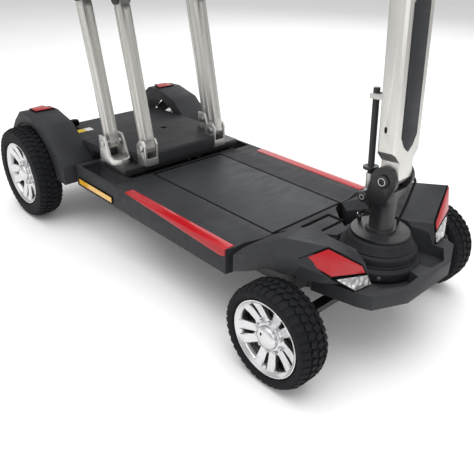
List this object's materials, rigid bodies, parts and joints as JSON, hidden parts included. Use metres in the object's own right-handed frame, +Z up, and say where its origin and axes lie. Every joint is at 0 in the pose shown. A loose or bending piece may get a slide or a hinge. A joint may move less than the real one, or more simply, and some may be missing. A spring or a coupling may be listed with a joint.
{
  "type": "mobility scooter",
  "caption": "Low folding travel scooter: deck with battery bay, faceted front cowl, linked seat posts, folding tiller and alloy wheels with solid tyres.",
  "frame": {"origin": "centre of the overall length and width, on the floor", "axes": "+X towards the nose, +Y to the rider's left, +Z up"},
  "size_m": [1.078, 0.543, 0.9547],
  "materials": {
    "charcoal_plastic": "moulded charcoal plastic, fine grain",
    "deck_plastic": "moulded dark grey plastic, fine grain",
    "black_steel": "black powder coat",
    "red_gloss": "clear-coated red",
    "amber": "amber reflector",
    "lens": "clear lamp lens",
    "silver": "satin anodised aluminium",
    "bright_alloy": "machined and lacquered alloy",
    "rubber_black": "matt black rubber",
    "tyre_rubber": "black solid tyre",
    "steel": "plain steel",
    "cushion_vinyl": "black upholstery vinyl",
    "battery_shell": "battery case"
  },
  "bodies": {
    "chassis": {"chassis_frame": "black_steel", "front_axle_beam": "black_steel", "transaxle": "black_steel", "front_deck": "charcoal_plastic", "side_strips": "red_gloss", "side_reflectors": "amber", "battery_pack": "battery_shell", "controller": "silver", "rear_deck": "deck_plastic", "rear_fenders": "charcoal_plastic", "tail_panels": "red_gloss", "box_brackets": "silver", "round_brackets": "silver", "lower_pivot_pins": "steel", "front_cowl": "charcoal_plastic", "front_panels": "red_gloss", "headlights": "lens", "steering_boot": "rubber_black"},
    "cover": {"battery_cover": "deck_plastic"},
    "latch": {"cover_latch": "deck_plastic"},
    "freewheel": {"freewheel_lever": "charcoal_plastic"},
    "steering": {"steering_column": "black_steel", "hinge_pin": "steel", "control_cables": "rubber_black"},
    "strut": {"lock_sleeve": "silver", "lock_rod": "black_steel"},
    "tiller": {"mast_yoke": "silver", "mast_inlay": "charcoal_plastic", "height_clamp": "black_steel"},
    "upper_tiller": {"upper_mast": "silver", "tiller_head": "charcoal_plastic", "handlebar": "black_steel", "grips": "rubber_black"},
    "throttle": {"throttle_lever": "charcoal_plastic"},
    "horn": {"horn_button": "red_gloss"},
    "dial": {"speed_dial": "charcoal_plastic"},
    "ignition": {"key": "steel"},
    "knuckle_left_body": {"knuckle_left": "black_steel"},
    "knuckle_right_body": {"knuckle_right": "black_steel"},
    "tie_rod_body": {"tie_rod": "black_steel"},
    "front_link_pair": {"front_links": "silver"},
    "rear_link_pair": {"rear_links": "silver"},
    "seat": {"seat_frame": "black_steel", "seat_cushion": "cushion_vinyl"},
    "backrest": {"backrest_frame": "black_steel", "backrest_cushion": "cushion_vinyl"},
    "front_wheel_left": {"front_tyre_left": "tyre_rubber", "front_rim_left": "bright_alloy", "front_hub_cap_left": "bright_alloy"},
    "front_wheel_right": {"front_tyre_right": "tyre_rubber", "front_rim_right": "bright_alloy", "front_hub_cap_right": "bright_alloy"},
    "rear_wheel_left": {"rear_tyre_left": "tyre_rubber", "rear_rim_left": "bright_alloy", "rear_hub_cap_left": "bright_alloy", "rear_axle_left": "steel"},
    "rear_wheel_right": {"rear_tyre_right": "tyre_rubber", "rear_rim_right": "bright_alloy", "rear_hub_cap_right": "bright_alloy", "rear_axle_right": "steel"}
  },
  "joints": [
    {"name": "tiller_fold", "type": "hinge", "parent": "steering", "child": "tiller", "pos_m": [0.441, 0, 0.306], "axis": [0, 1, 0], "range_deg": [-80, 0]},
    {"name": "strut_swing", "type": "hinge", "parent": "steering", "child": "strut", "pos_m": [0.4009, 0, 0.2631], "axis": [0, 1, 0], "range_deg": [-100, 0]},
    {"name": "mast_height", "type": "slide", "parent": "tiller", "child": "upper_tiller", "axis": [-0.0698, 0, 0.9976], "range_m": [-0.11, 0]},
    {"name": "throttle_swing", "type": "hinge", "parent": "upper_tiller", "child": "throttle", "pos_m": [0.38937, -0.058, 0.84371], "axis": [-0.0698, 0, 0.9976], "range_deg": [-15, 15], "stiffness_Nm_per_rad": 0.6},
    {"name": "horn_press", "type": "slide", "parent": "upper_tiller", "child": "horn", "axis": [0.0698, 0, -0.9976], "range_m": [0, 0.0025], "stiffness_N_per_m": 300},
    {"name": "dial_turn", "type": "hinge", "parent": "upper_tiller", "child": "dial", "pos_m": [0.37692, 0.042, 0.90699], "axis": [-0.0698, 0, 0.9976], "range_deg": [-135, 135]},
    {"name": "key_turn", "type": "hinge", "parent": "upper_tiller", "child": "ignition", "pos_m": [0.37692, -0.042, 0.90699], "axis": [-0.0698, 0, 0.9976], "range_deg": [-90, 0]},
    {"name": "steer", "type": "hinge", "parent": "chassis", "child": "steering", "pos_m": [0.433, 0, 0.14], "axis": [0, 0, 1], "range_deg": [-30, 30]},
    {"name": "knuckle_left_turn", "type": "hinge", "parent": "chassis", "child": "knuckle_left_body", "pos_m": [0.409, 0.185, 0.09], "axis": [0, 0, 1], "range_deg": [-30, 30]},
    {"name": "knuckle_right_turn", "type": "hinge", "parent": "chassis", "child": "knuckle_right_body", "pos_m": [0.409, -0.185, 0.09], "axis": [0, 0, 1], "range_deg": [-30, 30]},
    {"name": "tie_rod_turn", "type": "hinge", "parent": "steering", "child": "tie_rod_body", "pos_m": [0.393, 0, 0.06], "axis": [0, 0, 1], "range_deg": [-30, 30]},
    {"name": "front_links_fold", "type": "hinge", "parent": "chassis", "child": "front_link_pair", "pos_m": [-0.111, 0, 0.229], "axis": [0, 1, 0], "range_deg": [-60, 0]},
    {"name": "rear_links_fold", "type": "hinge", "parent": "chassis", "child": "rear_link_pair", "pos_m": [-0.186, 0, 0.232], "axis": [0, 1, 0], "range_deg": [-60, 0]},
    {"name": "seat_level", "type": "hinge", "parent": "front_link_pair", "child": "seat", "pos_m": [-0.17441, 0, 0.52734], "axis": [0, 1, 0], "range_deg": [0, 60]},
    {"name": "backrest_fold", "type": "hinge", "parent": "seat", "child": "backrest", "pos_m": [-0.38741, 0, 0.69374], "axis": [0, 1, 0], "range_deg": [0, 80]},
    {"name": "cover_lift", "type": "hinge", "parent": "chassis", "child": "cover", "pos_m": [-0.08975, 0, 0.16775], "axis": [0, -1, 0], "range_deg": [0, 60]},
    {"name": "latch_lift", "type": "hinge", "parent": "chassis", "child": "latch", "pos_m": [0.2985, 0, 0.1685], "axis": [0, -1, 0], "range_deg": [0, 40], "stiffness_Nm_per_rad": 0.2},
    {"name": "freewheel_swing", "type": "hinge", "parent": "chassis", "child": "freewheel", "pos_m": [-0.401, -0.12, 0.185], "axis": [0, 1, 0], "range_deg": [0, 20]},
    {"name": "front_wheel_left_spin", "type": "hinge", "parent": "knuckle_left_body", "child": "front_wheel_left", "pos_m": [0.409, 0.227, 0.09], "axis": [0, 1, 0], "continuous": true},
    {"name": "rear_wheel_left_spin", "type": "hinge", "parent": "chassis", "child": "rear_wheel_left", "pos_m": [-0.427, 0.2415, 0.112], "axis": [0, 1, 0], "continuous": true},
    {"name": "front_wheel_right_spin", "type": "hinge", "parent": "knuckle_right_body", "child": "front_wheel_right", "pos_m": [0.409, -0.227, 0.09], "axis": [0, 1, 0], "continuous": true},
    {"name": "rear_wheel_right_spin", "type": "hinge", "parent": "chassis", "child": "rear_wheel_right", "pos_m": [-0.427, -0.2415, 0.112], "axis": [0, 1, 0], "continuous": true}
  ],
  "couplings": [
    {"joint": "strut_swing", "follows": "tiller_fold", "ratio": 1.25},
    {"joint": "front_links_fold", "follows": "tiller_fold", "ratio": 0.75},
    {"joint": "rear_links_fold", "follows": "tiller_fold", "ratio": 0.75},
    {"joint": "seat_level", "follows": "tiller_fold", "ratio": -0.75},
    {"joint": "knuckle_left_turn", "follows": "steer", "ratio": 1},
    {"joint": "knuckle_right_turn", "follows": "steer", "ratio": 1},
    {"joint": "tie_rod_turn", "follows": "steer", "ratio": -1}
  ]
}
